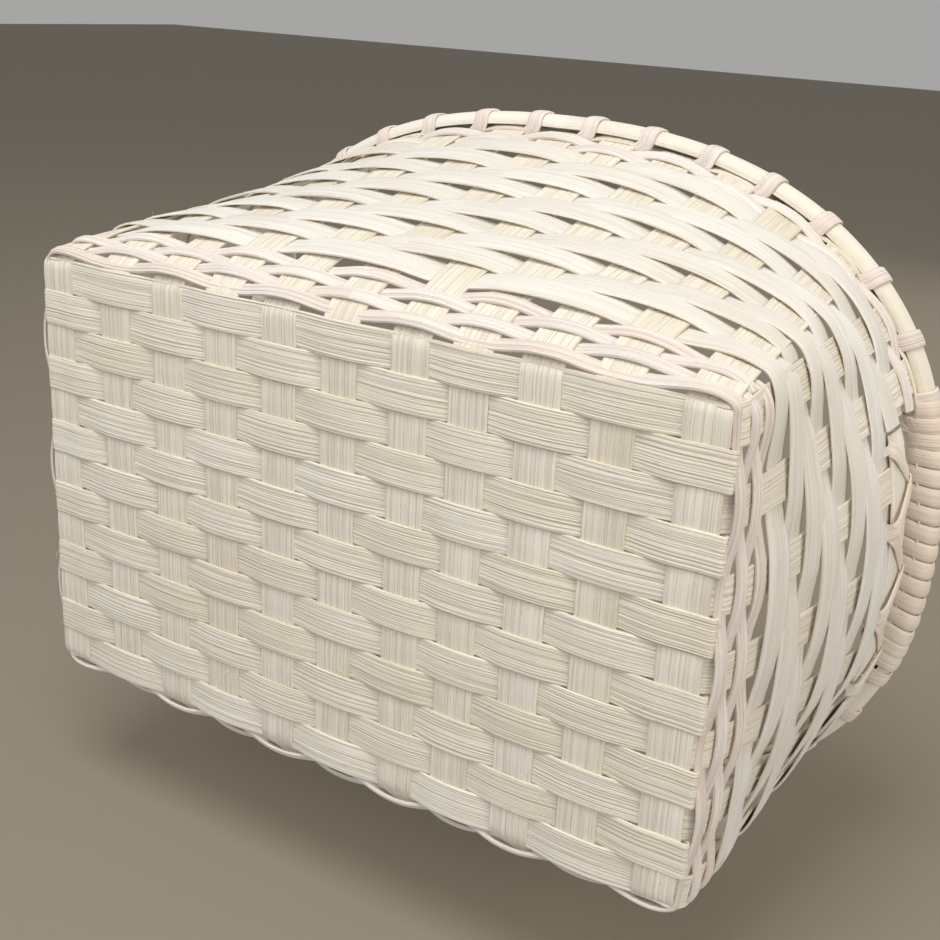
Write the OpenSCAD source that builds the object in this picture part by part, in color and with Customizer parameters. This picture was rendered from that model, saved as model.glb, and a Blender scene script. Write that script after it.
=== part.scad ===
// Woven fruit basket: a plain-woven flat reed base, flaring woven walls, a lashed double rim
// and a wrapped grip over a hand hole at each end.
// Millimetres. Origin at the middle of the underside, +Z up, the long side along X.

/* [Base] */
// Length of the rectangle that the walls rise from, along X
foot_l = 359; // [354:1:366]
// Width of the rectangle that the walls rise from, along Y
foot_w = 215.2; // [214.4:0.2:218]
// Distance between the middles of neighbouring base rows
row_pitch = 16.5; // [16.2:0.1:16.7]
// Thickness of every base strip
base_t = 1.2; // [0.8:0.1:1.4]

/* [Walls] */
// Height of the middle of the rim
rim_z = 189; // [188:1:192]
// How early the long walls flare, where 1 is straight
flare_front = 1.05; // [1:0.05:1.3]
// How early the end walls flare, where 1 is straight
flare_side = 1.65; // [1.3:0.05:1.8]
// How far the long walls belly out near the base
belly_front = 7.4; // [5:0.2:8]
// Height of the lowest narrow weaver
first_row_z = 5.5; // [5.4:0.1:6.2]
// Rise from one wide weaver to the next
wide_pitch = 13.6; // [13.5:0.1:13.7]

/* [Rim] */
// Length of the rim outside, along X
rim_l = 427; // [420:1:440]
// Width of the rim outside, along Y
rim_w = 360; // [350:1:370]
// Squareness of the rim's oval, where 2 is an ellipse
rim_square = 2.4; // [2:0.1:2.8]
// Height of the two half-round rims
rim_h = 12; // [10:0.5:13]
// Thickness of each half-round rim
rim_t = 6; // [4:0.5:7]

/* [Reed] */
// Width of the cross stakes
cross_w = 19; // [16:0.5:20]
// Width of the long stakes and the fillers
row_w = 15.6; // [14:0.1:15.8]
// Width of the wide weavers
wide_w = 13.4; // [10:0.2:13.4]
// Width of the narrow weavers
narrow_w = 6.2; // [4:0.2:6.4]
// Width of the lashing reed
lash_w = 7; // [4:0.5:8]

/* [Hand holes] */
// Number of turns of reed round each grip
grip_turns = 16; // [12:1:17]
// Height of the strips under each hand hole
strip_h = 14; // [12:0.5:14]
// Height of the middle of those strips
strip_z = 148.5; // [148:0.5:151]

/* [Hidden] */
// Middles of the cross stakes along X, set by hand and a little uneven, as woven.
cross_x = [-170, -132, -98, -66, -32, 1, 37, 66, 98, 130, 167];
rows = 13;
row_y = [for (r = [0:rows - 1]) (r - (rows - 1) / 2) * row_pitch];
stake_t = base_t;
weaver_t = 1;
gap = 0.1;
low_z = base_t / 2;
high_z = base_t * 1.5 + gap;
fold_z = base_t * 2.5 + 2 * gap;
stakes_around = 36;
corner_inset = 1;
// Rim directions of a quarter of the uprights, in degrees from the middle of a long wall.
quarter_angle = [0, 10.5, 21, 31, 40, 49, 59, 66.5, 77, 90];
// Both walls lean out late along their own length, so that the corner uprights fan out.
lean = 1.3;
belly_side = 1.2;
belly_z = 46;
// Rim directions between which the wall turns from a long wall to an end wall.
turn_from = 40;
turn_to = 70;
narrow_pitch = 6.4;
narrow_rows = 4;
wide_rows = 10;
first_wide_z = first_row_z + narrow_rows * narrow_pitch + 5.5;
first_top_z = first_wide_z + wide_rows * wide_pitch - 2.5;
// Half lengths, counted in uprights, of each hand hole and of the grip over it.
hole_half = 1.6;
grip_half = 1.55;
band_w = 9;
band_z = rim_z - 3;
weave = stake_t / 2 + weaver_t / 2 + gap;
bundle_t = weave + weaver_t / 2 + gap + rim_t;
lash_t = 1;
strip_t = 1.5;
hug = 0.3;
ivory = [0.93, 0.89, 0.79];
cream = [0.95, 0.92, 0.84];
blush = [0.88, 0.78, 0.69];

// ---- The wall: uprights are numbered 0 to 35 from the middle of the front, counter-clockwise ----

function unit(v) = v / norm(v);
function mix(a, b, f) = a + (b - a) * f;
function lap(j) = j - stakes_around * floor(j / stakes_around);

// Where upright k meets the base.
function foot_point(k) =
    k <= 5 ? [cross_x[5 + k], -foot_w / 2]
    : k <= 12 ? [foot_l / 2, row_y[2 * (k - 6)]]
    : k <= 23 ? [cross_x[23 - k], foot_w / 2]
    : k <= 30 ? [-foot_l / 2, row_y[2 * (30 - k)]]
    : [cross_x[k - 31], -foot_w / 2];

function corner_after(k) = [k == 5 || k == 12 ? 1 : -1, k == 5 || k == 30 ? -1 : 1];
function is_corner(k) = k == 5 || k == 12 || k == 23 || k == 30;

// The foot of the wall at any place between the uprights, going round each corner.
function foot_at(j) =
    let (k = floor(lap(j)), f = lap(j) - k, a = foot_point(k),
         b = foot_point((k + 1) % stakes_around), side = corner_after(k),
         c = [side[0] * (foot_l / 2 - corner_inset), side[1] * (foot_w / 2 - corner_inset)])
    !is_corner(k) ? mix(a, b, f)
    : f < 0.5 ? mix(a, c, 2 * f)
    : mix(c, b, 2 * f - 1);

// Direction of the wall's rim at upright k, in degrees from the front's middle.
function rim_angle(k) =
    k <= 9 ? quarter_angle[k]
    : k <= 18 ? 180 - quarter_angle[18 - k]
    : k <= 27 ? 180 + quarter_angle[k - 18]
    : 360 - quarter_angle[36 - k];

function oval(a, b, angle) =
    let (s = sin(angle), c = -cos(angle),
         r = pow(pow(abs(s) / a, rim_square) + pow(abs(c) / b, rim_square), -1 / rim_square))
    [r * s, r * c];

function rim_direction(j) =
    let (k = floor(lap(j)))
    mix(rim_angle(k), rim_angle(k + 1), lap(j) - k);

// 0 on the long walls and 1 on the end walls.
function end_share(angle) =
    max(0, min(1, (asin(abs(sin(angle))) - turn_from) / (turn_to - turn_from)));

// Each wall flares across its own face, leans along its own length and bellies out near the base.
function wall_point(j, z) =
    let (t = max(0, min(1, z / rim_z)), angle = rim_direction(j), end = end_share(angle),
         foot = foot_at(j), rim = oval(rim_l / 2 - bundle_t, rim_w / 2 - bundle_t, angle),
         x = mix(pow(t, lean), 1 - pow(1 - t, flare_side), end),
         y = mix(1 - pow(1 - t, flare_front), pow(t, lean), end),
         belly = z / belly_z * exp(1 - z / belly_z) * (1 - t))
    [mix(foot[0], rim[0], x) + sign(sin(angle)) * end * belly * belly_side,
     mix(foot[1], rim[1], y) - sign(cos(angle)) * (1 - end) * belly * belly_front,
     z];

function along(j, z) = unit(wall_point(j + 0.05, z) - wall_point(j - 0.05, z));
function up_wall(j, z) =
    let (u = wall_point(j, min(z + 2, rim_z)) - wall_point(j, min(z + 2, rim_z) - 4), t = along(j, z))
    unit(u - t * (u * t));
function out_of(j, z) = cross(along(j, z), up_wall(j, z));

// ---- Ribbons: a section carried through stations of [middle, width direction, thickness direction] ----

function flat_section(w, t) = [[-w / 2, -t / 2], [w / 2, -t / 2], [w / 2, t / 2], [-w / 2, t / 2]];

module ribbon(stations, section, closed = false) {
    n = len(section);
    m = len(stations);
    points = [for (s = stations) for (q = section) s[0] + q[0] * s[1] + q[1] * s[2]];
    sides = [for (i = [0:m - (closed ? 1 : 2)]) for (j = [0:n - 1])
        let (k = (j + 1) % n, a = i * n, b = ((i + 1) % m) * n)
        each [[a + j, b + k, a + k], [a + j, b + j, b + k]]];
    caps = closed ? [] : [
        [for (j = [0:n - 1]) j],
        [for (j = [0:n - 1]) m * n - 1 - j]];
    polyhedron(points, concat(sides, caps), convexity = 10);
}

// ---- Base strips and the uprights that they turn into ----

stake_wall_z = [185, 165, 140, 115, 90, 65, 42, 22, 8];
short_wall_z = [strip_z + strip_h / 2 - 1, 130, 105, 80, 55, 35, 18, 8];

function upright(j, heights, turn) =
    [for (z = heights) [wall_point(j, z), turn * along(j, z), out_of(j, z)]];
function reversed(a) = [for (i = [len(a) - 1:-1:0]) a[i]];

// The strip's bend between the base and the wall.
function bend(j, turn) = [[wall_point(j, 2.5), turn * along(j, 2.5),
    unit(out_of(j, 2.5) + [0, 0, -0.6])]];

// Base part of a strip: low or high at each crossing, with stations at both edges of the crossing.
function base_run(middles, width, first_low, place, side) =
    [for (i = [0:len(middles) - 1]) for (edge = [-1, 1])
        let (low = (i % 2 == 0) == first_low)
        [place(middles[i] + edge * width / 2, low ? low_z : high_z), side, [0, 0, -1]]];

module cross_stake(k) {
    x = cross_x[k - 1];
    front = (k - 6 + stakes_around) % stakes_around;
    back = 24 - k;
    place = function (d, z) [x, d, z];
    color(ivory) ribbon(concat(
        upright(front, stake_wall_z, 1), bend(front, 1),
        base_run(row_y, row_w, k % 2 == 1, place, [1, 0, 0]),
        bend(back, -1), upright(back, reversed(stake_wall_z), -1)),
        flat_section(cross_w, stake_t));
}

module long_stake(m) {
    y = row_y[2 * (m - 1)];
    right = 5 + m;
    left = 31 - m;
    under_hole = m >= 3 && m <= 5;
    heights = under_hole ? short_wall_z : stake_wall_z;
    place = function (d, z) [d, y, z];
    color(ivory) ribbon(concat(
        upright(left, heights, 1), bend(left, 1),
        base_run(cross_x, cross_w, false, place, [0, -1, 0]),
        bend(right, -1), upright(right, reversed(heights), -1)),
        flat_section(row_w, stake_t));
}

// A filler folds up round the end stakes and back over them, inside the base.
module filler(i) {
    y = row_y[2 * i - 1];
    edge = foot_l / 2 - 0.9;
    tuck = [edge - 1, edge - 17, edge - 34];
    place = function (d, z) [d, y, z];
    right = concat(
        [[[edge, y, high_z], [0, -1, 0], [1, 0, 0]]],
        [for (x = tuck) [[x, y, fold_z], [0, -1, 0], [0, 0, 1]]]);
    left = [for (s = reversed(right)) [[-s[0][0], y, s[0][2]], s[1], [-s[2][0], 0, s[2][2]]]];
    color(ivory) ribbon(concat(left, base_run(cross_x, cross_w, true, place, [0, -1, 0]), right),
        flat_section(row_w, base_t));
}

// ---- Weavers: outside or inside each upright, held flat across it ----

function row_z(r) =
    r <= narrow_rows ? first_row_z + (r - 1) * narrow_pitch
    : r <= narrow_rows + wide_rows ? first_wide_z + (r - narrow_rows - 1) * wide_pitch
    : first_top_z + (r - narrow_rows - wide_rows - 1) * narrow_pitch;

// Narrow rows pass over one and under one; wide rows pass over two and under one, stepping on.
function is_outside(r, k) =
    r > narrow_rows && r <= narrow_rows + wide_rows
        ? (k + 1 - r + 3 * stakes_around) % 3 != 0
        : (k + r) % 2 == 0;

function weaver_station(j, z, d) =
    [wall_point(j, z) + d * out_of(j, z), up_wall(j, z), out_of(j, z)];

function weaver_path(r, z, first, last) =
    [for (k = [first:last]) for (edge = [-hug, hug])
        weaver_station(k + edge, z, is_outside(r, lap(k)) ? weave : -weave)];

function weaver_width(r) = r > narrow_rows && r <= narrow_rows + wide_rows ? wide_w : narrow_w;

module closed_weaver(r) {
    color(r <= narrow_rows ? blush : cream)
        ribbon(weaver_path(r, row_z(r), 0, stakes_around - 1),
            flat_section(weaver_width(r), weaver_t), closed = true);
}

// A weaver that stops at the hand holes, centred on upright middle.
module open_weaver(r, middle) {
    z = row_z(r);
    reach = stakes_around / 4 - hole_half;
    path = concat(
        [weaver_station(middle - reach, z, 0)],
        weaver_path(r, z, middle - floor(reach), middle + floor(reach)),
        [weaver_station(middle + reach, z, 0)]);
    color(r <= narrow_rows + wide_rows ? cream : blush)
        ribbon(path, flat_section(weaver_width(r), weaver_t));
}

module top_band() {
    color(ivory) ribbon(weaver_path(narrow_rows + wide_rows + 3, band_z, 0, stakes_around - 1),
        flat_section(band_w, weaver_t), closed = true);
}

// ---- Rim ----

rim_steps = 72;
half_round = [[-rim_h / 2, 0], [rim_h / 2, 0], [rim_h * 0.36, rim_t * 0.7], [0, rim_t],
    [-rim_h * 0.36, rim_t * 0.7]];

function rim_stations(d, side) =
    [for (i = [0:rim_steps - 1])
        let (j = i * stakes_around / rim_steps, n = out_of(j, rim_z), h = unit([n[0], n[1], 0]))
        [wall_point(j, rim_z) + d * h, [0, 0, side], side * h]];

module outer_rim() {
    color(cream) ribbon(rim_stations(bundle_t - rim_t, 1), half_round, closed = true);
}

module inner_rim() {
    color(cream) ribbon(rim_stations(rim_t - bundle_t, -1), half_round, closed = true);
}

module rim_filler() {
    r = bundle_t - rim_t - gap;
    lift = rim_h / 2 - r;
    color(ivory) ribbon(rim_stations(0, 1),
        [for (i = [0:5]) [lift + r * cos(60 * i), r * sin(60 * i)]], closed = true);
}

// ---- Lashing: reed carried round a bundle while it moves along the wall ----

// Place and outward direction round a bundle of half thickness a and half height b; turn 0 is below.
function round_bundle(turn, a, b) =
    let (s = sin(360 * turn), c = -cos(360 * turn), e = 0.5)
    [a * sign(s) * pow(abs(s), e), b * sign(c) * pow(abs(c), e)];
function bundle_out(turn) = [sin(360 * turn), -cos(360 * turn)];

function lash_station(j, turn, z, a, b) =
    let (t = along(j, z), n = out_of(j, z), h = unit([n[0], n[1], 0]),
         q = round_bundle(turn, a, b), o = bundle_out(turn))
    [wall_point(j, z) + q[0] * h + [0, 0, q[1]], -t, o[0] * h + [0, 0, o[1]]];

turn_steps = 8;
last_wrap = 7.35;
lash_a = bundle_t + lash_t / 2 + gap;
lash_b = rim_h / 2 + lash_t / 2 + gap;

// One lashing: a wrap in each gap between uprights, moving on along the inside.
function lash_path(middle) =
    [for (i = [-8:7]) for (step = [0:turn_steps - 1])
        let (turn = step / turn_steps, j = i + 0.5 + max(0, turn - 0.5) * 2)
        lash_station(middle + max(-last_wrap, min(last_wrap, j)), turn, rim_z, lash_a, lash_b)];

module rim_lashing() {
    color(blush) for (middle = [0, stakes_around / 2])
        ribbon(lash_path(middle), flat_section(lash_w, lash_t));
}

module grip_wrap(middle) {
    steps = grip_turns * turn_steps;
    pitch = norm(wall_point(middle + 0.5, rim_z) - wall_point(middle - 0.5, rim_z))
        * 2 * grip_half / grip_turns;
    color(blush) ribbon(
        [for (i = [0:steps]) lash_station(middle + mix(-grip_half, grip_half, i / steps),
            i / turn_steps - floor(i / turn_steps), rim_z, lash_a, lash_b)],
        flat_section(min(lash_w, pitch * 0.9), lash_t));
}

// ---- Strips that finish the wall under each hand hole ----

module hole_strip(middle, side) {
    d = side * (stake_t / 2 + strip_t / 2 + gap);
    reach = hole_half - 0.02;
    bevel = 0.12;
    places = [-reach, bevel - reach, -1, -0.5, 0, 0.5, 1, reach - bevel, reach];
    color(cream) ribbon(
        [for (p = places)
            let (s = weaver_station(middle + p, strip_z, d), thin = abs(p) == reach ? 0.4 : 1)
            [s[0], s[1], s[2] * thin]],
        flat_section(strip_h, strip_t));
}

// Two strands of reed cross over the strips at each upright and pass between the uprights below.
module strip_lashing(middle) {
    a = stake_t / 2 + strip_t + lash_t / 2 + 2 * gap;
    b = strip_h / 2 + lash_t / 2 + gap;
    steps = 3 * turn_steps;
    width = lash_w * 0.8;
    lash_reach = 1.4;
    color(blush) for (way = [1, -1])
        ribbon([for (i = [0:steps])
            lash_station(middle + way * mix(-lash_reach, lash_reach, i / steps),
                i / turn_steps - floor(i / turn_steps), strip_z,
                a + (way < 0 ? lash_t : 0), b + (way < 0 ? lash_t : 0))],
            flat_section(width, lash_t));
}

right_grip = stakes_around / 4;
left_grip = stakes_around * 3 / 4;
back_middle = stakes_around / 2;

cross_stake(1);  // cross_stake_01
cross_stake(2);  // cross_stake_02
cross_stake(3);  // cross_stake_03
cross_stake(4);  // cross_stake_04
cross_stake(5);  // cross_stake_05
cross_stake(6);  // cross_stake_06
cross_stake(7);  // cross_stake_07
cross_stake(8);  // cross_stake_08
cross_stake(9);  // cross_stake_09
cross_stake(10);  // cross_stake_10
cross_stake(11);  // cross_stake_11
long_stake(1);  // long_stake_01
long_stake(2);  // long_stake_02
long_stake(3);  // long_stake_03
long_stake(4);  // long_stake_04
long_stake(5);  // long_stake_05
long_stake(6);  // long_stake_06
long_stake(7);  // long_stake_07
filler(1);  // filler_01
filler(2);  // filler_02
filler(3);  // filler_03
filler(4);  // filler_04
filler(5);  // filler_05
filler(6);  // filler_06
closed_weaver(1);  // narrow_weaver_01
closed_weaver(2);  // narrow_weaver_02
closed_weaver(3);  // narrow_weaver_03
closed_weaver(4);  // narrow_weaver_04
closed_weaver(5);  // wide_weaver_05
closed_weaver(6);  // wide_weaver_06
closed_weaver(7);  // wide_weaver_07
closed_weaver(8);  // wide_weaver_08
closed_weaver(9);  // wide_weaver_09
closed_weaver(10);  // wide_weaver_10
closed_weaver(11);  // wide_weaver_11
closed_weaver(12);  // wide_weaver_12
open_weaver(13, 0);  // wide_weaver_13_front
open_weaver(13, back_middle);  // wide_weaver_13_back
open_weaver(14, 0);  // wide_weaver_14_front
open_weaver(14, back_middle);  // wide_weaver_14_back
open_weaver(15, 0);  // narrow_weaver_15_front
open_weaver(15, back_middle);  // narrow_weaver_15_back
open_weaver(16, 0);  // narrow_weaver_16_front
open_weaver(16, back_middle);  // narrow_weaver_16_back
top_band();
outer_rim();
inner_rim();
rim_filler();
rim_lashing();
grip_wrap(right_grip);  // grip_wrap_right
grip_wrap(left_grip);  // grip_wrap_left
hole_strip(right_grip, 1);  // hole_strip_outer_right
hole_strip(right_grip, -1);  // hole_strip_inner_right
hole_strip(left_grip, 1);  // hole_strip_outer_left
hole_strip(left_grip, -1);  // hole_strip_inner_left
strip_lashing(right_grip);  // strip_lashing_right
strip_lashing(left_grip);  // strip_lashing_left
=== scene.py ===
# %% [markdown]
# # Weaving a fruit basket
# A reed basket is a good lesson in making many long, thin pieces that follow one shared rule.
# The real one starts as a flat mat of wide strips. Their ends turn up to become the wall's
# uprights, weavers go round them in rows, and two half-round reeds are lashed on as a rim.
# We build it in that order, and every strip is its own object, so each can be studied alone.

# %% Open the frame that the basket is built on
import math
import random

import bpy
import numpy as np
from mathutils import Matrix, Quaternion, Vector


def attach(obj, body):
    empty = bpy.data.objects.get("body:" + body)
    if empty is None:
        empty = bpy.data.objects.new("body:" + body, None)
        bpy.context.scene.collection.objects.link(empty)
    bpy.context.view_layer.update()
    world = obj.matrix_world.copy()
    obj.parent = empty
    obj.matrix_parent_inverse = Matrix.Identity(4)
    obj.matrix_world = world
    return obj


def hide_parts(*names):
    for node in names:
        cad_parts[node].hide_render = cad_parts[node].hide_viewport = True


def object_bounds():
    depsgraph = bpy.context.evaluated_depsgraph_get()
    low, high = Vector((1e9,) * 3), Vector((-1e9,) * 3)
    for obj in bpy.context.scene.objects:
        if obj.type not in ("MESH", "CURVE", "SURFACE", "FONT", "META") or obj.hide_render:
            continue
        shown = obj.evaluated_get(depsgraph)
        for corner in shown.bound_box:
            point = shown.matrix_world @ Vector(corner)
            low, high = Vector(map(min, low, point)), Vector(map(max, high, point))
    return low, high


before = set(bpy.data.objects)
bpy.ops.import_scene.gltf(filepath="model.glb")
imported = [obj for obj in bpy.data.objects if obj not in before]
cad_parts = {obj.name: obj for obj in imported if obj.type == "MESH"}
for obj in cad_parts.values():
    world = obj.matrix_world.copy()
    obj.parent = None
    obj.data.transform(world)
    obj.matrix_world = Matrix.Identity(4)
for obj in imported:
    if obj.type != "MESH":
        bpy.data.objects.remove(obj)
cad_low, cad_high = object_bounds()
MM = 0.001
print("frame measures", [round(v / MM) for v in cad_high - cad_low], "mm")

# %% [markdown]
# ## The basket's own measures
# These few sizes set the whole shape: lengths that a weaver would measure, how the walls flare,
# and the angle at which each upright of one quarter meets the rim. The cross stakes of a
# hand-woven base stand unevenly, so their places are read from their plain nodes in the frame.

# %% Sizes of the base, the wall and the rim
FOOT_LENGTH, FOOT_WIDTH = 359 * MM, 215.2 * MM
ROW_PITCH = 16.5 * MM
ROW_Y = [(row - 6) * ROW_PITCH for row in range(13)]
BASE_MIDDLE_Z = 1.5 * MM
RIM_Z, RIM_LENGTH, RIM_WIDTH = 189 * MM, 427 * MM, 360 * MM
RIM_HEIGHT, RIM_THICK, RIM_SQUARE = 12 * MM, 6 * MM, 2.4
FLARE_FRONT, FLARE_SIDE, LEAN = 1.05, 1.65, 1.3
BELLY_FRONT, BELLY_SIDE, BELLY_Z = 7.4 * MM, 1.2 * MM, 46 * MM
TURN_FROM, TURN_TO = 40, 70
UPRIGHTS = 36
QUARTER_ANGLES = (0, 10.5, 21, 31, 40, 49, 59, 66.5, 77, 90)
STAKE_THICK, WEAVER_THICK = 1.2 * MM, 1.0 * MM
WEAVE = 1.2 * MM
BUNDLE = WEAVE + WEAVER_THICK / 2 + 0.1 * MM + RIM_THICK
HOLE_HALF, GRIP_HALF = 1.6, 1.55
STRIP_Z, STRIP_HEIGHT = 148.5 * MM, 15.4 * MM
STAKE_WIDTH, ROW_WIDTH, WEAVER_WIDTH = 19 * MM, 16.7 * MM, 16.4 * MM


def stake_middle(node):
    """Where a cross stake lies along the base, from the flat middle part of its plain node."""
    corners = np.array([corner.co for corner in bpy.data.objects[node].data.vertices])
    flat = (np.abs(corners[:, 1]) < FOOT_WIDTH / 3) & (corners[:, 2] < 6 * MM)
    return (corners[flat, 0].min() + corners[flat, 0].max()) / 2


CROSS_X = [stake_middle(f"cross_stake_{k:02d}") for k in range(1, 12)]
print("cross stakes lie at", [round(x / MM) for x in CROSS_X], "mm")

# %% [markdown]
# ## One surface for the whole wall
# Every upright and every weaver lies on the same wall. So we describe that wall once, by two
# numbers: which upright we are beside (0 to 36, counter-clockwise from the middle of the front)
# and the height. At the foot the wall is a rectangle and at the rim it is a squarish oval. The
# flare says how quickly one turns into the other, the long walls belly out near the base, and
# the uprights by the corners lean over late, so they fan out.

# %% The wall as a function of upright number and height
def foot_table():
    """Upright numbers and the places on the foot's rectangle that they rise from."""
    half_l, half_w = FOOT_LENGTH / 2, FOOT_WIDTH / 2
    inset = 1.5 * MM
    short = ROW_Y[::2]
    front = [(k, CROSS_X[5 + k], -half_w) for k in range(6)]
    right = [(6 + m, half_l, y) for m, y in enumerate(short)]
    back = [(13 + m, x, half_w) for m, x in enumerate(CROSS_X[::-1])]
    left = [(24 + m, -half_l, y) for m, y in enumerate(short[::-1])]
    front_again = [(31 + m, x, -half_w) for m, x in enumerate(CROSS_X[:6])]
    corners = [(5.5, half_l - inset, inset - half_w), (12.5, half_l - inset, half_w - inset),
               (23.5, inset - half_l, half_w - inset), (30.5, inset - half_l, inset - half_w)]
    return np.array(sorted(front + right + back + left + front_again + corners))


def rim_angle_table():
    quarter = list(QUARTER_ANGLES)
    half = quarter + [180 - a for a in quarter[-2::-1]]
    return np.radians(half + [180 + a for a in half[1:]])


FOOT = foot_table()
RIM_ANGLES = rim_angle_table()


def wall(j, z):
    """Places on the wall's middle surface beside upright j at height z; both may be arrays."""
    j, z = np.broadcast_arrays(np.asarray(j, float), np.asarray(z, float))
    lap = np.mod(j, UPRIGHTS)
    foot = [np.interp(lap, FOOT[:, 0], FOOT[:, c]) for c in (1, 2)]
    angle = np.interp(lap, np.arange(UPRIGHTS + 1), RIM_ANGLES)
    s, c = np.sin(angle), -np.cos(angle)
    a, b = RIM_LENGTH / 2 - BUNDLE, RIM_WIDTH / 2 - BUNDLE
    reach = (np.abs(s / a) ** RIM_SQUARE + np.abs(c / b) ** RIM_SQUARE) ** (-1 / RIM_SQUARE)
    t = np.clip(z / RIM_Z, 0, 1)
    end = np.clip((np.degrees(np.arcsin(np.abs(s))) - TURN_FROM) / (TURN_TO - TURN_FROM), 0, 1)
    to_rim_x = (1 - end) * t ** LEAN + end * (1 - (1 - t) ** FLARE_SIDE)
    to_rim_y = (1 - end) * (1 - (1 - t) ** FLARE_FRONT) + end * t ** LEAN
    belly = z / BELLY_Z * np.exp(1 - z / BELLY_Z) * (1 - t)
    x = foot[0] + (reach * s - foot[0]) * to_rim_x + np.sign(s) * end * belly * BELLY_SIDE
    y = foot[1] + (reach * c - foot[1]) * to_rim_y + np.sign(c) * (1 - end) * belly * BELLY_FRONT
    return np.stack([x, y, z], -1)


def unit(v):
    return v / np.maximum(np.linalg.norm(v, axis=-1, keepdims=True), 1e-12)


def wall_axes(j, z):
    """Along, up and out directions on the wall. Along looks a little way each side, so it turns
    gently round a corner, as a reed does."""
    look = 0.25
    along = unit(wall(j + look, z) - wall(j - look, z))
    high = np.minimum(z + 2 * MM, RIM_Z)
    up = wall(j, high) - wall(j, high - 4 * MM)
    up = unit(up - along * np.sum(up * along, -1, keepdims=True))
    return along, up, np.cross(along, up)


middle_of_front = wall(np.array([0.0]), np.array([100 * MM]))[0]
print("front wall stands at", [round(v / MM, 1) for v in middle_of_front], "mm, 100 mm up")

# %% [markdown]
# ## Reed: one blank, bent into place
# Flat reed is a long strip with fine lengthwise ridges where the fibres run. Modelling it as a
# box would lose the soft edges and the grain. So each strip starts as a flat grid, which is
# rolled round the reed's section, carried along its path and joined along its seam. The section
# has its ridges in it, so the grain is real geometry all the way along.

# %% Helpers: deselect, apply, and place a strip along its path
def deselect_all():
    for each in bpy.context.selected_objects:
        each.select_set(False)


def make_active(piece):
    deselect_all()
    piece.select_set(True)
    bpy.context.view_layer.objects.active = piece


def soften(path, passes, closed=False):
    """Rounds a path as springy reed would: each point moves halfway to its neighbours' middle."""
    path = np.array(path, float)
    for _ in range(passes):
        before, after = np.roll(path, 1, 0), np.roll(path, -1, 0)
        eased = path / 2 + (before + after) / 4
        if not closed:
            eased[0], eased[-1] = path[0], path[-1]
        path = eased
    return path


def path_frames(path, out_hint, closed=False):
    """Width and outward directions at each point of a path, square to its run."""
    if closed:
        run = unit(np.roll(path, -1, 0) - np.roll(path, 1, 0))
    else:
        run = unit(np.gradient(path, axis=0))
    out = unit(out_hint - run * np.sum(out_hint * run, -1, keepdims=True))
    return np.cross(out, run), out


def lay_reed(name, path, out_hint, section, closed=False, seed=0, thin=None, narrow=None):
    """Lays one reed along a path. The section is a loop of (across, outward) points in metres,
    thin and narrow scale its thickness and width at each station."""
    stations, around = len(path), len(section)
    bpy.ops.mesh.primitive_grid_add(x_subdivisions=stations if closed else stations - 1,
                                    y_subdivisions=around, size=1, calc_uvs=True)
    piece = bpy.context.active_object
    piece.name = name
    mesh = piece.data
    mesh.name = name
    flat = np.empty(len(mesh.vertices) * 3)
    mesh.vertices.foreach_get("co", flat)
    flat = flat.reshape(-1, 3)
    columns = stations if closed else stations - 1
    station = np.rint((flat[:, 0] + 0.5) * columns).astype(int) % stations
    place = np.rint((flat[:, 1] + 0.5) * around).astype(int) % around
    across_dir, out_dir = path_frames(path, out_hint, closed)
    section = np.array(section)
    depth = section[place, 1] * (1 if thin is None else thin[station])
    breadth = section[place, 0] * (1 if narrow is None else narrow[station])
    placed = (path[station] + across_dir[station] * breadth[:, None]
              + out_dir[station] * depth[:, None])
    mesh.vertices.foreach_set("co", placed.ravel())
    measure_uvs(mesh, path, section, columns, closed, seed)
    close_skin(piece, closed)
    mark_edges(mesh, section)
    return piece


def measure_uvs(mesh, path, section, columns, closed, seed):
    """Makes the UV map read in metres of reed, and gives every strip its own stretch of grain."""
    run = np.linalg.norm(np.diff(path, axis=0, append=path[:1]), axis=1)
    length = np.concatenate([[0], np.cumsum(run)])[:columns + 1]
    girth_steps = np.linalg.norm(np.roll(section, -1, 0) - section, axis=1)
    girth = np.concatenate([[0], np.cumsum(girth_steps)])
    uv = np.empty(len(mesh.loops) * 2)
    mesh.uv_layers.active.data.foreach_get("uv", uv)
    uv = uv.reshape(-1, 2)
    u = length[np.rint(uv[:, 0] * columns).astype(int)] + 1.7 * seed
    v = girth[np.rint(uv[:, 1] * len(section)).astype(int)] + 0.31 * seed
    mesh.uv_layers.active.data.foreach_set("uv", np.stack([u, v], -1).ravel())


def close_skin(piece, closed):
    """Joins the seam, closes the two cut ends and turns every face outward."""
    make_active(piece)
    bpy.ops.object.mode_set(mode="EDIT")
    bpy.ops.mesh.select_all(action="SELECT")
    bpy.ops.mesh.remove_doubles(threshold=1e-7)
    if not closed:
        bpy.ops.mesh.select_all(action="DESELECT")
        bpy.ops.mesh.select_mode(type="EDGE")
        bpy.ops.mesh.select_non_manifold(extend=False)
        bpy.ops.mesh.fill_holes(sides=0)
    bpy.ops.mesh.select_all(action="SELECT")
    bpy.ops.mesh.normals_make_consistent(inside=False)
    bpy.ops.object.mode_set(mode="OBJECT")
    bpy.ops.object.shade_smooth_by_angle(angle=math.radians(50))


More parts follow.
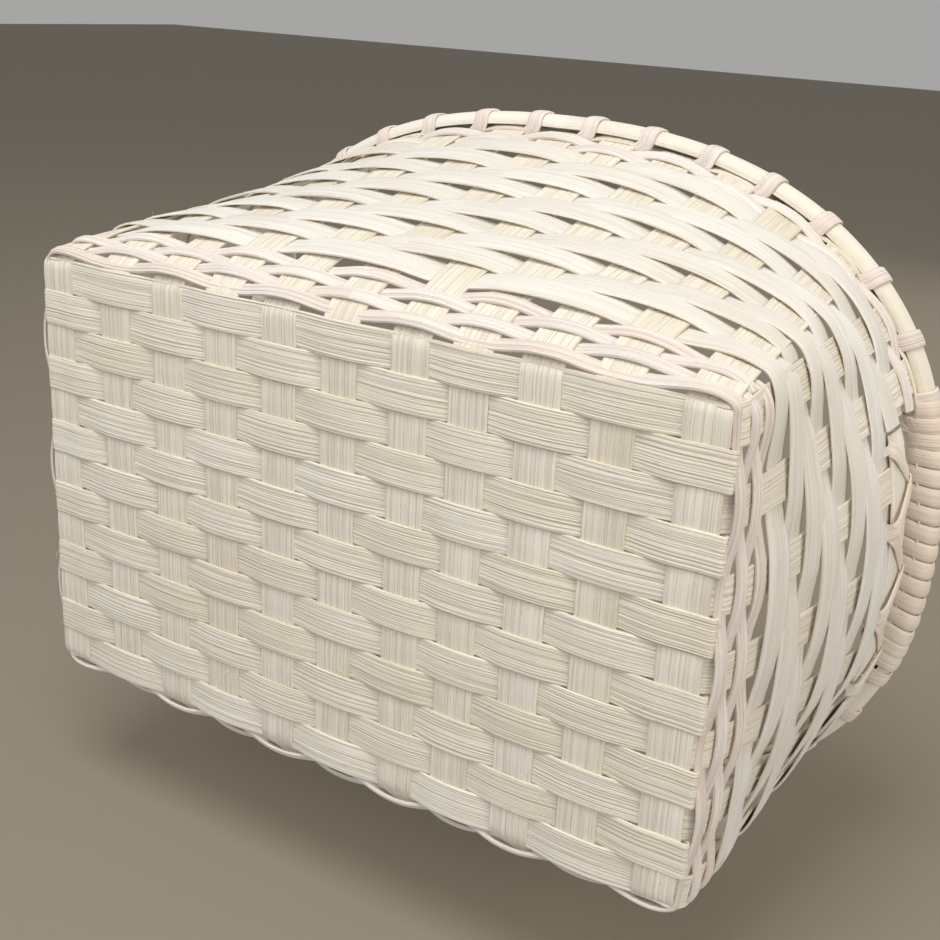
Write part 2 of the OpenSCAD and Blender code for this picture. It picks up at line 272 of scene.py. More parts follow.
def mark_edges(mesh, section):
    """Stores how near each corner is to a cut side of the reed, for the finish to read."""
    girth_steps = np.linalg.norm(np.roll(section, -1, 0) - section, axis=1)
    girth = np.concatenate([[0], np.cumsum(girth_steps)])
    nearness = np.abs(section[:, 0]) / np.abs(section[:, 0]).max()
    uv = np.empty(len(mesh.loops) * 2)
    mesh.uv_layers.active.data.foreach_get("uv", uv)
    around = np.mod(uv.reshape(-1, 2)[:, 1], 0.31)
    value = np.interp(around, girth, np.append(nearness, nearness[0]))
    layer = mesh.attributes.new("side", "FLOAT", "CORNER")
    layer.data.foreach_set("value", value)


# %% Sections of the different reeds
def ridged(width, thick, crown, ridges, depth, chance, grooves=0):
    """A reed section as a loop of points: a crowned, ridged face, two eased edges and a back."""
    half, edge = width / 2, thick * 0.28
    face_x = np.linspace(half - edge, edge - half, ridges)
    rise = crown * (1 - (face_x / half) ** 2) ** 0.8
    groove = np.array([chance.uniform(-depth, depth) for _ in face_x])
    groove -= 0.16 * crown * (1 - np.cos(2 * math.pi * grooves * (face_x / width + 0.5)))
    face = [(x, thick / 2 + r + g) for x, r, g in zip(face_x, rise, groove)]
    side = [(-half, thick / 2 - edge), (-half, edge - thick / 2)]
    back_x = np.linspace(edge - half, half - edge, max(4, ridges // 3))
    back = [(x, -thick / 2 + chance.uniform(-depth, depth)) for x in back_x]
    other = [(half, edge - thick / 2), (half, thick / 2 - edge)]
    return np.array(face + side + back + other)


def flat_reed(width, chance):
    return ridged(width, STAKE_THICK, 0.14 * MM, 27, 0.06 * MM, chance)


def flat_oval_reed(width, thick, chance):
    return ridged(width, thick * 0.5, thick * 0.5, 19, 0.03 * MM, chance, grooves=3)


def weaver_reed(chance):
    return ridged(WEAVER_WIDTH, WEAVER_THICK, 0.3 * MM, 21, 0.05 * MM, chance)


# %% [markdown]
# ## The finish of raw reed
# Raw reed is pale, dry and a little silky, with fibre lines along it and slow changes of tone
# from strip to strip. Its grooves are darkened partly with painted shade, and its cut sides get a
# painted warm glow of light. All of that runs along the strip, so the patterns read each strip's
# own UV map, which is in metres. To keep the shader maths readable, a small class wraps a socket,
# so that sums of values can be written as Python expressions.

# %% A socket that can be added, multiplied and mixed
class Shade:
    """A number socket in a node tree. Using it in an expression adds the Math nodes."""

    def __init__(self, tree, socket):
        self.tree = tree
        self.socket = socket

    def math(self, operation, *values, clamp=False):
        node = self.tree.nodes.new("ShaderNodeMath")
        node.operation = operation
        node.use_clamp = clamp
        for slot, value in zip(node.inputs, values):
            if isinstance(value, Shade):
                self.tree.links.new(value.socket, slot)
            else:
                slot.default_value = value
        return Shade(self.tree, node.outputs[0])

    def __add__(self, other):
        return self.math("ADD", self, other)

    def __sub__(self, other):
        return self.math("SUBTRACT", self, other)

    def __mul__(self, other):
        return self.math("MULTIPLY", self, other)

    def __truediv__(self, other):
        return self.math("DIVIDE", self, other)

    def __pow__(self, other):
        return self.math("POWER", self, other)

    def __radd__(self, other):
        return self.math("ADD", other, self)

    def __rsub__(self, other):
        return self.math("SUBTRACT", other, self)

    def __rmul__(self, other):
        return self.math("MULTIPLY", other, self)

    def within(self, low, high):
        """0 below low, 1 above high, and a straight rise between."""
        return self.math("MULTIPLY", self - low, 1 / (high - low), clamp=True)


class Finish:
    """A material and the two ways it gets nodes: node() for any node, and expressions."""

    def __init__(self, name):
        self.material = bpy.data.materials.new(name)
        self.material.use_nodes = True
        self.tree = self.material.node_tree
        self.shader = self.tree.nodes["Principled BSDF"]

    def node(self, kind, output=0, settings=None, **sockets):
        """Adds a node, sets it up, then fills its sockets, named with _ for spaces."""
        node = self.tree.nodes.new(kind)
        for key, value in (settings or {}).items():
            setattr(node, key, value)
        for key, value in sockets.items():
            by_number = key[1:].isdigit()
            slot = node.inputs[int(key[1:]) if by_number else key.replace("_", " ")]
            if isinstance(value, (Shade, bpy.types.NodeSocket)):
                self.tree.links.new(getattr(value, "socket", value), slot)
            else:
                slot.default_value = value
        return node.outputs[output]

    def value(self, *args, **sockets):
        return Shade(self.tree, self.node(*args, **sockets))

    def mix_colours(self, share, one, other, blend="MIX"):
        return self.node("ShaderNodeMix", 2, {"data_type": "RGBA", "blend_type": blend},
                         i0=share, i6=one, i7=other)

    def set(self, **inputs):
        for key, value in inputs.items():
            slot = self.shader.inputs[key.replace("_", " ")]
            if isinstance(value, (Shade, bpy.types.NodeSocket)):
                self.tree.links.new(getattr(value, "socket", value), slot)
            else:
                slot.default_value = value


# %% Raw reed, with its tones as parameters
def rgb(red, green, blue):
    return (red, green, blue, 1.0)


# side is the tone of the painted warm glow of light through the reed's thin cut sides.
def reed_finish(name, pale, deep, side, groove_depth=1.0, gloss=0.6):
    """Raw reed: fibre lines, grooves darkened partly with painted shade, drifts of tone, a few flecks
    and a painted warm glow of light on the cut sides.
    """
    finish = Finish(name)
    strip = finish.node("ShaderNodeUVMap")

    def grain(along, across, detail, rough=0.55):
        stretched = finish.node("ShaderNodeVectorMath", 0, {"operation": "MULTIPLY"},
                                i0=strip, i1=(along, across, 1.0))
        return finish.value("ShaderNodeTexNoise", 0, {"noise_dimensions": "2D"}, Vector=stretched,
                            Scale=1.0, Detail=detail, Roughness=rough)

    def dark(share):
        return rgb(deep[0] * (1 - share), deep[1] * (1 - share * 1.15), deep[2] * (1 - share * 1.35))

    fibres = grain(30, 1500, 3)
    ridges = grain(6, 1050, 2)
    streaks = grain(8, 260, 3)
    strip_tone = grain(1.5, 3.2, 1)
    patch = grain(22, 60, 3)
    # grooves marks the valleys of the ridge bump below; the colour is darkened there as painted shade.
    grooves = ridges.within(0.47, 0.36)
    flecks = grain(120, 800, 2).within(0.72, 0.80)
    near_side = finish.value("ShaderNodeAttribute", 2, {"attribute_name": "side"})

    tone = (strip_tone * 1.1 + streaks * 0.6 + patch * 0.6).within(0.90, 1.50)
    body = finish.mix_colours(tone, rgb(*pale), rgb(*deep))
    # Painted shade: the body darkens in the ridge valleys, partly the reed's darker fibre and partly
    # shade painted into the grooves.
    body = finish.mix_colours(grooves * groove_depth * 0.34, body, dark(0.40))
    body = finish.mix_colours(fibres.within(0.46, 0.30) * groove_depth * 0.20, body, dark(0.36))
    body = finish.mix_colours(flecks * 0.4, body, dark(0.5))
    # Painted light: a warm tan glow of light through the thin cut sides, spread raggedly along them.
    painted_glow_on_cut_sides = near_side.within(0.965, 0.995) * (patch * 0.7 + fibres * 0.5).within(0.50, 0.80)
    colour = finish.mix_colours(painted_glow_on_cut_sides * 0.45, body, rgb(*side))
    height = ridges.within(0.30, 0.62) + fibres * 0.35 + streaks * 0.8
    bump = finish.node("ShaderNodeBump", 0, Strength=1.0, Distance=0.34 * groove_depth * MM,
                       Height=height)
    finish.set(Base_Color=colour, Roughness=gloss + (fibres - 0.5) * 0.25, Normal=bump,
               Specular_IOR_Level=0.3)
    return finish.material


# The third tone of each reed is its painted warm glow of light on the cut sides.
BASE_REED = reed_finish("base_reed", (0.91, 0.86, 0.755), (0.84, 0.77, 0.63), (0.70, 0.60, 0.46))
WIDE_REED = reed_finish("wide_reed", (0.87, 0.855, 0.81), (0.815, 0.77, 0.68), (0.72, 0.55, 0.34),
                        groove_depth=0.75)
NARROW_REED = reed_finish("narrow_reed", (0.87, 0.81, 0.765), (0.80, 0.70, 0.63),
                          (0.62, 0.45, 0.33), groove_depth=0.8)
LASHING_REED = reed_finish("lashing_reed", (0.88, 0.79, 0.70), (0.80, 0.69, 0.58),
                           (0.52, 0.37, 0.26), groove_depth=0.45, gloss=0.5)
RIM_REED = reed_finish("rim_reed", (0.88, 0.84, 0.76), (0.81, 0.75, 0.63), (0.66, 0.54, 0.38),
                       groove_depth=0.35, gloss=0.55)
print("finishes:", [m.name for m in (BASE_REED, WIDE_REED, NARROW_REED, LASHING_REED, RIM_REED)])


def hand_over(piece, material, slot, *nodes):
    """Gives a finished reed its material, and lets it stand for its plain node in the frame."""
    piece.data.materials.clear()
    piece.data.materials.append(material)
    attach(piece, "root")
    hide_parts(*nodes)
    deselect_all()


# %% [markdown]
# ## The woven base
# Eleven wide stakes cross thirteen rows. The stakes stay fairly straight and the rows do most of
# the bending, because the stakes stand apart and the rows lie close together. Odd rows run on
# up the short walls; even rows are fillers, folded round the end stakes and tucked back inside.

# %% Heights of a strip through the base weave
def held(at, middles, levels, hold):
    """A strip's level: steady across each crossing, easing to the next one between them."""
    knots = np.array([m + e for m in middles for e in (-hold, hold)])
    values = np.repeat(levels, 2)
    return np.interp(at, knots, values)


STAKE_WAVE, ROW_WAVE, ROW_BOW = 0.35 * MM, 0.80 * MM, 0.75 * MM
ROW_HOLD = 8.2 * MM


def cross_stake_level(k, y):
    """Cross stakes ride in a shallow wave under and over the close-set rows."""
    side = 1 if k % 2 == 1 else -1
    return BASE_MIDDLE_Z - side * STAKE_WAVE * np.cos(math.pi * (y - ROW_Y[0]) / ROW_PITCH)


def row_level(row, x):
    """Rows dive inside one cross stake, then spring out in a low arch over the next."""
    levels = [ROW_WAVE if k % 2 == row % 2 else -ROW_WAVE for k in range(1, 12)]
    level = BASE_MIDDLE_Z + held(x, CROSS_X, levels, ROW_HOLD)
    held_in = [middle for middle, up in zip(CROSS_X, levels) if up > 0]
    inside = [-FOOT_LENGTH / 2] + held_in + [FOOT_LENGTH / 2]
    for start, stop in zip(inside[:-1], inside[1:]):
        free_length = stop - start - STAKE_WIDTH
        float_share = np.clip((x - start - STAKE_WIDTH / 2) / free_length, 0, 1)
        level = level - ROW_BOW * np.sin(math.pi * float_share) ** 1.3
    return level


def row_breadth(path, base_level):
    """Rows spread where they float and pinch in a little where a stake holds them."""
    floating = np.clip((BASE_MIDDLE_Z + ROW_WAVE - path[:, 2]) / (2 * ROW_WAVE), 0, 1)
    on_base = path[:, 2] < base_level
    return np.where(on_base, 0.965 + 0.04 * floating, 0.985)


# %% Turn a strip's ends up the wall
STEP = 1.7 * MM


def climb(j, top, lean=0.0):
    """The wall part of an upright, from the top down, and its outward directions."""
    z = np.arange(top, 4.5 * MM, -1.6 * STEP)
    beside = np.full(len(z), float(j)) + lean * (z / RIM_Z) ** 2
    along, up, out = wall_axes(beside, z)
    bulge = 0.25 * MM * np.sin(z * 2 * math.pi / (42 * MM) + j * 2.1)
    return wall(beside, z) + out * bulge[:, None], out


def turned_strip(first, base, second):
    """Joins wall part, base part and wall part, with the sharp turns eased."""
    down, down_out = first
    rise, rise_out = second
    base_out = np.tile([0.0, 0.0, -1.0], (len(base), 1))
    path = np.concatenate([down, base, rise[::-1]])
    out = np.concatenate([down_out, base_out, rise_out[::-1]])
    return soften(path, 2), unit(soften(out, 6))


# %% Cross stakes
chance = random.Random(4)
STAKE_TOP = RIM_Z - 3.5 * MM


def cross_stake(k):
    y = np.arange(-FOOT_WIDTH / 2 + STEP, FOOT_WIDTH / 2 - STEP / 2, STEP)
    base = np.stack([np.full(len(y), CROSS_X[k - 1]), y, cross_stake_level(k, y)], -1)
    front, back = (k - 6) % UPRIGHTS, 24 - k
    path, out = turned_strip(climb(front, STAKE_TOP, chance.uniform(-0.03, 0.03)), base,
                             climb(back, STAKE_TOP, chance.uniform(-0.03, 0.03)))
    piece = lay_reed(f"cross_stake_{k:02d}_woven", path, out, flat_reed(STAKE_WIDTH, chance), seed=k)
    hand_over(piece, BASE_REED, "base_reed", f"cross_stake_{k:02d}")


for k in range(1, 12):
    cross_stake(k)
print("cross stakes laid")

# %% Long stakes
def long_stake(m):
    row = 2 * m - 1
    x = np.arange(-FOOT_LENGTH / 2 + STEP, FOOT_LENGTH / 2 - STEP / 2, STEP)
    base = np.stack([x, np.full(len(x), ROW_Y[row - 1]), row_level(row, x)], -1)
    under_hole = 3 <= m <= 5
    top = STRIP_Z + STRIP_HEIGHT / 2 - 1.5 * MM if under_hole else STAKE_TOP
    path, out = turned_strip(climb(31 - m, top), base, climb(5 + m, top))
    piece = lay_reed(f"long_stake_{m:02d}_woven", path, out, flat_reed(ROW_WIDTH, chance),
                     seed=20 + m, narrow=row_breadth(path, 4 * MM))
    hand_over(piece, BASE_REED, "base_reed", f"long_stake_{m:02d}")


for m in range(1, 8):
    long_stake(m)
print("long stakes laid")

# %% Fillers, folded round the end stakes
def filler(i):
    row = 2 * i
    end = FOOT_LENGTH / 2 - 1.3 * MM
    x = np.arange(-end, end + STEP / 2, STEP)
    base = np.stack([x, np.full(len(x), ROW_Y[row - 1]), row_level(row, x)], -1)
    turn = np.radians(np.linspace(-65, 65, 7))
    radius, tail = 1.5 * MM, chance.uniform(28, 34) * MM
    fold_z = BASE_MIDDLE_Z - ROW_WAVE + radius
    bend = np.stack([end + 0.2 * MM + radius * 0.75 * np.cos(turn), np.full(7, ROW_Y[row - 1]),
                     fold_z + radius * np.sin(turn)], -1)
    back_x = np.arange(end - STEP, end - tail, -STEP)
    back = np.stack([back_x, np.full(len(back_x), ROW_Y[row - 1]),
                     np.full(len(back_x), fold_z + radius)], -1)
    hook = np.concatenate([bend, back])
    hook_out = np.concatenate([np.stack([np.cos(turn), 0 * turn, np.sin(turn)], -1),
                               np.tile([0.0, 0.0, 1.0], (len(back), 1))])
    base_out = np.tile([0.0, 0.0, -1.0], (len(base), 1))
    mirror = np.array([-1.0, 1.0, 1.0])
    path = np.concatenate([(hook * mirror)[::-1], base, hook])
    out = np.concatenate([(hook_out * mirror)[::-1], base_out, hook_out])
    path = soften(path, 1)
    piece = lay_reed(f"filler_{i:02d}_woven", path, unit(soften(out, 1)),
                     flat_reed(ROW_WIDTH, chance), seed=30 + i, narrow=row_breadth(path, 4 * MM))
    hand_over(piece, BASE_REED, "base_reed", f"filler_{i:02d}")


for i in range(1, 7):
    filler(i)
print("fillers laid")

# %% [markdown]
# ## Weavers round the wall
# A weaver passes outside some uprights and inside the others. Narrow rows go over one and under
# one. Wide rows go over two and under one, and each row starts one upright further on, which
# draws the slanting twill. Springy reed never lies flat between two uprights that it passes
# outside, so each of those spans bows outward. The wide weavers are packed so tightly that each
# one overlaps the next like a shingle.

# %% Where each row lies and which uprights it passes outside
NARROW_ROWS, WIDE_ROWS = 4, 10
FIRST_ROW_Z, NARROW_PITCH, WIDE_PITCH = 4.6 * MM, 6.4 * MM, 13.6 * MM
FIRST_WIDE_Z = FIRST_ROW_Z + NARROW_ROWS * NARROW_PITCH + 6.4 * MM
FIRST_TOP_Z, TOP_PITCH = FIRST_WIDE_Z + WIDE_ROWS * WIDE_PITCH - 2.2 * MM, 7 * MM
WIDE_BOW, NARROW_BOW = 1.5 * MM, 0.8 * MM
NARROW_INSIDE = -2.2 * MM
SHINGLE = 0.065
PER_UPRIGHT = 12


def is_wide(row):
    return NARROW_ROWS < row <= NARROW_ROWS + WIDE_ROWS


def row_height(row):
    if row <= NARROW_ROWS:
        return FIRST_ROW_Z + (row - 1) * NARROW_PITCH
    if is_wide(row):
        return FIRST_WIDE_Z + (row - NARROW_ROWS - 1) * WIDE_PITCH
    return FIRST_TOP_Z + (row - NARROW_ROWS - WIDE_ROWS - 1) * TOP_PITCH


def outside(row, k):
    if is_wide(row):
        return (k + 1 - row) % 3 != 0
    return (k + row) % 2 == 0


# %% The path of a weaver
def weave_offset(row, j, bow):
    """How far outside the wall's middle the weaver runs beside upright number j."""
    first, last = int(math.floor(j[0])) - 2, int(math.ceil(j[-1])) + 2
    uprights = np.arange(first, last + 1)
    inside = -WEAVE if is_wide(row) else NARROW_INSIDE
    levels = [WEAVE if outside(row, k % UPRIGHTS) else inside for k in uprights]
    offset = held(j, uprights, levels, 0.27)
    for k in uprights:
        if is_wide(row) and not outside(row, k % UPRIGHTS):
            span = np.clip((j - k - 0.5) / 2, 0, 1)
            offset = offset + bow * np.sin(math.pi * span) ** 1.2
        if not is_wide(row) and outside(row, k % UPRIGHTS):
            span = np.clip(j - k + 0.5, 0, 1)
            offset = offset + bow * np.sin(math.pi * span) ** 2
    return offset


def weaver(name, row, section, material, slot, j, closed, z=None, bow=WIDE_BOW):
    sway = 0.35 * MM * np.sin(j * 2 * math.pi * 3 / UPRIGHTS + row * 1.9)
    height = (row_height(row) if z is None else z) + sway
    along, up, out = wall_axes(j, height)
    path = wall(j, height) + out * weave_offset(row, j, bow)[:, None]
    path = soften(path, 4, closed)
    if is_wide(row):
        out = out + up * SHINGLE
    piece = lay_reed(f"{name}_woven", path, unit(soften(out, 4, closed)), section, closed,
                     seed=40 + row)
    hand_over(piece, material, slot, name)


def whole_round():
    return np.arange(UPRIGHTS * PER_UPRIGHT) / PER_UPRIGHT


def part_round(middle, reach):
    return np.linspace(middle - reach, middle + reach, int(2 * reach * PER_UPRIGHT) + 1)


# %% Narrow and wide rows that go all the way round
for row in range(1, 5):
    weaver(f"narrow_weaver_{row:02d}", row, flat_oval_reed(6.7 * MM, 2.3 * MM, chance), NARROW_REED,
           "narrow_reed", whole_round(), True, bow=NARROW_BOW)
for row in range(5, 13):
    weaver(f"wide_weaver_{row:02d}", row, weaver_reed(chance), WIDE_REED, "wide_reed",
           whole_round(), True)
print("closed rows laid")

# %% Rows that stop at the hand holes, front and back
for row in range(13, 17):
    for side, middle in (("front", 0), ("back", UPRIGHTS / 2)):
        reach = UPRIGHTS / 4 - HOLE_HALF - chance.uniform(0.02, 0.1)
        if is_wide(row):
            weaver(f"wide_weaver_{row}_{side}", row, weaver_reed(chance), WIDE_REED,
                   "wide_reed", part_round(middle, reach), False)
        else:
            weaver(f"narrow_weaver_{row}_{side}", row, flat_oval_reed(8 * MM, 2.4 * MM, chance),
                   NARROW_REED, "narrow_reed", part_round(middle, reach), False, bow=NARROW_BOW)
weaver("top_band", 17, flat_reed(9 * MM, chance), BASE_REED, "base_reed", whole_round(), True,
       z=RIM_Z - 3 * MM, bow=0)
print("open rows laid")

# %% [markdown]
# ## The rim
# Two half-round reeds clamp the top of the wall between them, and a filler lies in the groove.
# Each is a half-round section carried round the oval.

# %% Half-round rims and the filler between them
def rim_path(distance):
    j = np.arange(UPRIGHTS * 9) / 9
    z = np.full(len(j), RIM_Z)
    along, up, out = wall_axes(j, z)
    level = unit(out * np.array([1.0, 1.0, 0.0]))
    return soften(wall(j, z) + level * distance, 4, True), level


def half_round(chance):
    angle = np.radians(np.linspace(90, -90, 19))
    arc = [(RIM_HEIGHT / 2 * math.sin(a),
            RIM_THICK * math.cos(a) ** 0.8 + chance.uniform(-0.03, 0.03) * MM) for a in angle]
    back = [(x, 0.0) for x in np.linspace(-0.9, 0.9, 5) * RIM_HEIGHT / 2]
    return np.array(arc + back)


def rim(name, distance, side, section, material, slot):
    path, level = rim_path(distance)
    piece = lay_reed(f"{name}_shaped", path, level * side, section, True, seed=70)
    hand_over(piece, material, slot, name)


rim("outer_rim", BUNDLE - RIM_THICK, 1, half_round(chance), RIM_REED, "rim_reed")
rim("inner_rim", RIM_THICK - BUNDLE, -1, half_round(chance), RIM_REED, "rim_reed")
filler_radius = 1.7 * MM
filler_round = np.array([(RIM_HEIGHT / 2 - filler_radius + filler_radius * math.cos(a),
                          filler_radius * math.sin(a)) for a in np.linspace(0, -2 * math.pi, 13)[:-1]])
rim("rim_filler", 0, 1, filler_round, BASE_REED, "base_reed")
print("rim shaped")

# %% [markdown]
# ## Lashing and grips
# All of the wrapping is the same motion: reed goes round a bundle while it moves along the wall.
# So one function gives the path of a wrap, from how far round and how far along it is.

# %% A reed wrapped round a bundle
def wrapped(turn, j, z, half_thick, half_high, squareness=0.55):
    """Path and outward direction; turn 0 is under the bundle, a quarter is outside it. The reed
    moves round at an even speed, so a slanting wrap crosses each face in a straight line."""
    fine = np.linspace(0, 1, 721)
    s, c = np.sin(2 * math.pi * fine), -np.cos(2 * math.pi * fine)
    around = np.stack([half_thick * np.sign(s) * np.abs(s) ** squareness,
                       half_high * np.sign(c) * np.abs(c) ** squareness], -1)
    travel = np.cumsum(np.linalg.norm(np.diff(around, axis=0, prepend=around[:1]), axis=1))
    turn = np.interp(np.mod(turn, 1) * travel[-1], travel, fine)
    s, c = np.sin(2 * math.pi * turn), -np.cos(2 * math.pi * turn)
    z = np.full(len(j), z)
    along, up, out = wall_axes(j, z)
    level = unit(out * np.array([1.0, 1.0, 0.0]))
    side = half_thick * np.sign(s) * np.abs(s) ** squareness
    lift = half_high * np.sign(c) * np.abs(c) ** squareness
    upward = np.array([0.0, 0.0, 1.0])
    path = wall(j, z) + level * side[:, None] + upward * lift[:, None]
    return path, unit(level * (s * half_high)[:, None] + upward * (c * half_thick)[:, None])


LASH_THICK = 1.0 * MM
LASH_OUT = BUNDLE + LASH_THICK / 2
LASH_HIGH = RIM_HEIGHT / 2 + LASH_THICK / 2
LAST_WRAP = 7.35


def lash_section(width, chance, crown=0.5 * MM):
    return ridged(width, 0.75 * MM, crown, 11, 0.03 * MM, chance)


def rim_lashing():
    strands = []
    for middle in (0, UPRIGHTS / 2):
        steps = 24
        turns = np.arange(16 * steps + 1) / steps
        part = np.mod(turns, 1)
        j = np.floor(turns) - 7.5 + 0.16 * (part - 0.25) + np.clip(part - 0.5, 0, 0.5) * 2 * 0.84
        j = middle + np.clip(j, -LAST_WRAP, LAST_WRAP)
        path, out = wrapped(turns, j, RIM_Z, LASH_OUT, LASH_HIGH)
        strands.append(lay_reed("lash", soften(path, 1), out, lash_section(8 * MM, chance),
                                seed=80 + int(middle)))
    make_active(strands[0])
    strands[1].select_set(True)
    bpy.ops.object.join()
    strands[0].name = "rim_lashing_wrapped"
    hand_over(strands[0], NARROW_REED, "narrow_reed", "rim_lashing")


rim_lashing()

# %% The wound grips
GRIP_TURNS = 16


def grip(name, middle):
    steps = 28
    turns = np.arange(GRIP_TURNS * steps + 1) / steps
    j = middle - GRIP_HALF + 2 * GRIP_HALF * turns / GRIP_TURNS
    path, out = wrapped(turns, j, RIM_Z, LASH_OUT + 0.2 * MM, LASH_HIGH + 0.4 * MM, 0.7)
    piece = lay_reed(f"{name}_wound", path, out, lash_section(8.6 * MM, chance, 0.9 * MM), seed=90)
    hand_over(piece, LASHING_REED, "lashing_reed", name)


grip("grip_wrap_right", UPRIGHTS / 4)
grip("grip_wrap_left", UPRIGHTS * 3 / 4)
print("lashing and grips wound")

# %% Strips under the hand holes, with chiselled ends
def hole_strip(name, middle, side):
    j = part_round(middle, HOLE_HALF)
    z = np.full(len(j), STRIP_Z)
    along, up, out = wall_axes(j, z)
    distance = side * (STAKE_THICK / 2 + 0.85 * MM)
    path = soften(wall(j, z) + out * distance, 12)
    from_end = np.minimum(np.arange(len(j)), np.arange(len(j))[::-1])
    thin = np.interp(from_end, [0, 2.2], [0.3, 1.0])
    section = ridged(STRIP_HEIGHT, 1.6 * MM, 0.6 * MM, 21, 0.05 * MM, chance)
    piece = lay_reed(f"{name}_cut", path, out * side, section, seed=95 + side, thin=thin)
    hand_over(piece, RIM_REED, "rim_reed", name)


for end, middle in (("right", UPRIGHTS / 4), ("left", UPRIGHTS * 3 / 4)):
    hole_strip(f"hole_strip_outer_{end}", middle, 1)
    hole_strip(f"hole_strip_inner_{end}", middle, -1)


def strip_lashing(name, middle):
    strands = []
    for way in (1, -1):
        steps = 28
        turns = np.arange(3 * steps + 1) / steps
        extra = 0 if way > 0 else LASH_THICK
        part = np.interp(np.mod(turns, 1), [0, 0.06, 0.44, 0.56, 0.94, 1],
                         [0, 0.05, 0.49, 0.51, 0.95, 1])
        j = middle + way * (np.floor(turns) + part - 1.5) * 0.98
        path, out = wrapped(turns, j, STRIP_Z, STAKE_THICK / 2 + 2.8 * MM + extra,
                            STRIP_HEIGHT / 2 + 0.6 * MM + extra, 0.3)
        strands.append(lay_reed("tie", path, out, lash_section(6.6 * MM, chance), seed=97 + way))
    make_active(strands[0])
    strands[1].select_set(True)
    bpy.ops.object.join()
    strands[0].name = f"{name}_wrapped"
    hand_over(strands[0], LASHING_REED, "lashing_reed", name)


strip_lashing("strip_lashing_right", UPRIGHTS / 4)
strip_lashing("strip_lashing_left", UPRIGHTS * 3 / 4)
print("hand holes finished")

# %% [markdown]
# ## Frayed ends and loose hairs
# Raw reed is never clean: the folded fillers crack along their bend, cut ends fray, and single
# hairs lift off the faces. Each tuft is a few thin hairs with seeded, uneven bends.

# %% Tufts of hair where reed is cracked, cut or scuffed
HAIR = [(0.14 * MM * math.cos(a), 0.14 * MM * math.sin(a)) for a in np.radians([90, 210, 330])]


def tuft(place, spread, lift, count, length):
    """A few hairs near one place: spread is the half size of the patch they grow from, lift is
    the way they point."""
    hairs = []
    for _ in range(count):
        root = np.array(place) + np.array([chance.uniform(-1, 1) * e for e in spread])
        heading = np.array(lift) + np.array([chance.gauss(0, 0.55) for _ in range(3)])
        curl = np.array([chance.gauss(0, 0.9) for _ in range(3)])
        steps = np.linspace(0, 1, 6)[:, None]
        path = root + (heading * steps + curl * steps ** 2 * 0.6) * length * chance.uniform(0.4, 1.3)
        path[:, 2] = np.maximum(path[:, 2], root[2] - 1.5 * MM)
        hairs.append(lay_reed("hair", path, np.tile([0.31, 0.29, 0.9], (6, 1)), np.array(HAIR),
                              seed=chance.randint(1, 60), narrow=np.linspace(1, 0.35, 6),
                              thin=np.linspace(1, 0.35, 6)))
    return hairs


hairs = []
for i in range(1, 7):
    for end in (1, -1):
        fold = (end * (FOOT_LENGTH / 2 + 0.6 * MM), ROW_Y[2 * i - 1], 2.2 * MM)
        hairs += tuft(fold, (0.3 * MM, 7.4 * MM, 1.3 * MM), (end * 0.3, 0, -0.3),
                      18 if i in (2, 3, 5) and end > 0 else 5, 2.0 * MM)
for middle in (UPRIGHTS / 4, UPRIGHTS * 3 / 4):
    for end in (1, -1):
        for height in (145, 158, 169, 176):
            j, z = np.array([middle + end * HOLE_HALF]), np.array([height * MM])
            along, up, out = wall_axes(j, z)
            hairs += tuft((wall(j, z) + out * 1.6 * MM)[0], (1 * MM, 1 * MM, 3 * MM),
                          (-end * along + 0.4 * out)[0], 5, 5 * MM)
for _ in range(26):
    spot = (chance.uniform(-0.17, 0.17), chance.uniform(-0.1, 0.1), -0.35 * MM)
    hairs += tuft(spot, (0, 0, 0), (chance.choice((-1, 1)), 0.3, -0.15), 1, 5 * MM)
for _ in range(22):
    j, z = np.array([chance.uniform(-7, 12)]), np.array([chance.uniform(25, 165) * MM])
    along, up, out = wall_axes(j, z)
    hairs += tuft((wall(j, z) + out * 3 * MM)[0], (0, 0, 0),
                  (along * 0.7 + out * 0.35 - 0.3 * up)[0], 1, 8 * MM)
make_active(hairs[0])
for hair in hairs[1:]:
    hair.select_set(True)
bpy.ops.object.join()
hairs[0].name = "loose_fibres"
hairs[0].data.materials.clear()
hairs[0].data.materials.append(WIDE_REED)
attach(hairs[0], "root")
deselect_all()
print("frayed with", len(hairs), "hairs")

# %% [markdown]
# ## Floor, light and camera
# The basket is shown lying on its back wall, seen from below its base, so a board with the tone
# of dry grass stands where the ground would be, darkened further as painted shade for what is
# seen through the gaps of the weave. A paler board lies under the base for views from above.
# Each board is only seen from its upper side, so neither hides the basket.

# %% Two boards that are only seen from their upper side
def board_material(name, colour):
    board = Finish(name)
    board.set(Base_Color=rgb(*colour), Roughness=0.9)
    clear = board.node("ShaderNodeBsdfTransparent")
    seen_from_behind = board.node("ShaderNodeNewGeometry", 6)
    mixed = board.node("ShaderNodeMixShader", 0, i0=seen_from_behind,
                       i1=board.shader.outputs[0], i2=clear)
    board.tree.links.new(mixed, board.tree.nodes["Material Output"].inputs["Surface"])
    return board.material


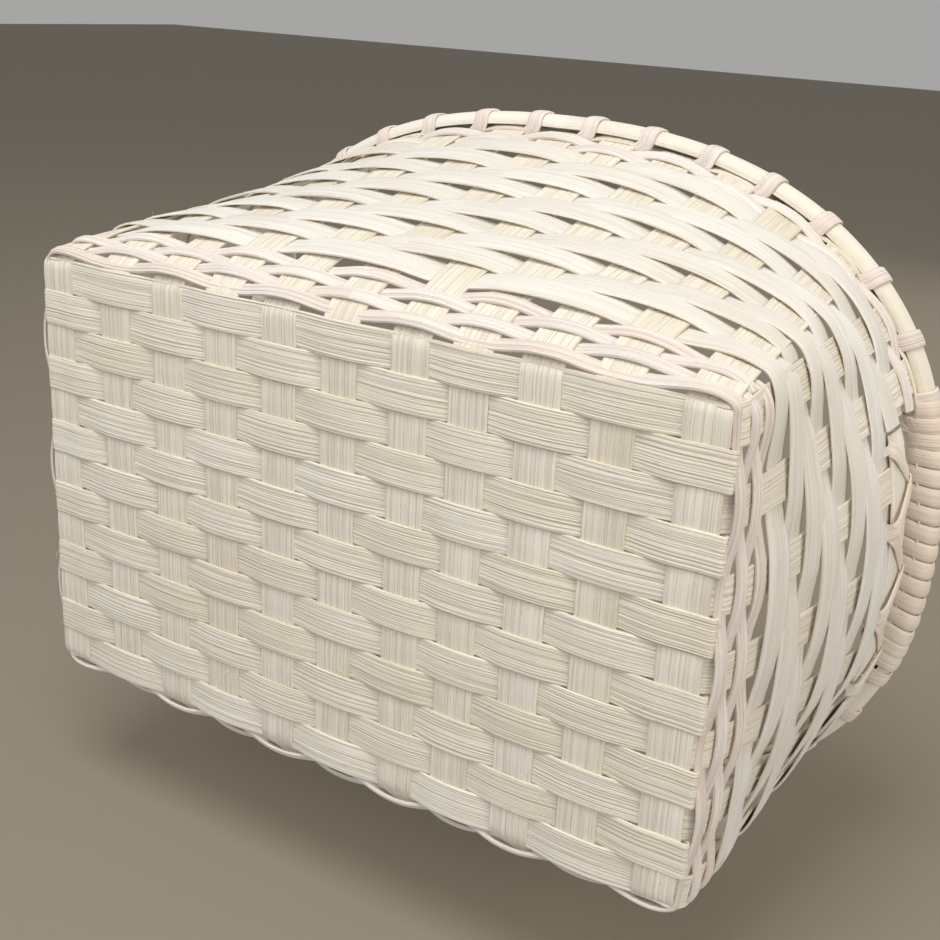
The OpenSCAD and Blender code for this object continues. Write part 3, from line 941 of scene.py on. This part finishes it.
def board(name, place, turn, material):
    bpy.ops.mesh.primitive_plane_add(size=14, location=place, rotation=turn)
    plane = bpy.context.active_object
    plane.name = name
    plane.data.materials.append(material)
    bpy.ops.object.transform_apply(location=True, rotation=True, scale=True)
    plane.visible_diffuse = plane.visible_glossy = plane.visible_shadow = False
    plane.visible_transmission = False
    deselect_all()


board("floor", (0, 0, -1.2 * MM), (0, 0, 0), board_material("pale_board", (0.42, 0.39, 0.34)))
# Painted shade: this ground board is dry grass darkened so the gaps in the weave read as shadow.
board("ground_behind", (0, cad_high.y + 0.5 * MM, 0), (math.radians(90), 0, 0),
      board_material("dry_grass_and_shade_board", (0.27, 0.235, 0.18)))

# %% Lights
def soft_light(name, place, size, power, colour=(1, 1, 1)):
    aim = Vector((0, 0, 0.09)) - Vector(place)
    bpy.ops.object.light_add(type="AREA", location=place,
                             rotation=aim.to_track_quat("-Z", "Y").to_euler())
    lamp = bpy.context.active_object
    lamp.name = name
    lamp.data.shape = "DISK"
    lamp.data.size = size
    lamp.data.energy = power
    lamp.data.color = colour
    deselect_all()


soft_light("sky_over_front_wall", (0.1, -1.55, -0.5), 0.9, 16, (1.0, 0.985, 0.965))
soft_light("light_by_camera", (-0.7, -0.9, -1.1), 0.8, 5)
soft_light("warm_light_from_right", (1.5, -0.5, -0.5), 0.9, 9, (1.0, 0.90, 0.77))
soft_light("light_from_mouth", (0.5, -0.5, 1.6), 1.4, 6, (1.0, 0.95, 0.88))
soft_light("light_over_back", (-0.9, 1.3, 0.9), 1.2, 6)

world = bpy.data.worlds.new("soft_day")
bpy.context.scene.world = world
world.use_nodes = True
world.node_tree.nodes["Background"].inputs["Color"].default_value = (0.96, 0.95, 0.93, 1)
world.node_tree.nodes["Background"].inputs["Strength"].default_value = 0.40

# %% The camera looks up at the base from below one corner
bpy.ops.object.camera_add()
camera = bpy.context.active_object
camera.name = "camera"
camera_place = Vector((338, -243, -432)) * MM
looks_at = Vector((69.4, -57.5, 0)) * MM
roll = Quaternion((0, 0, 1), math.radians(64.3))
camera.location = camera_place
camera.rotation_euler = ((looks_at - camera_place).to_track_quat("-Z", "Y") @ roll).to_euler()
camera.data.lens = 51.6
camera.data.sensor_width = 36
camera.data.clip_start = 0.01
bpy.context.scene.camera = camera
bpy.context.scene.view_settings.view_transform = "Standard"
deselect_all()
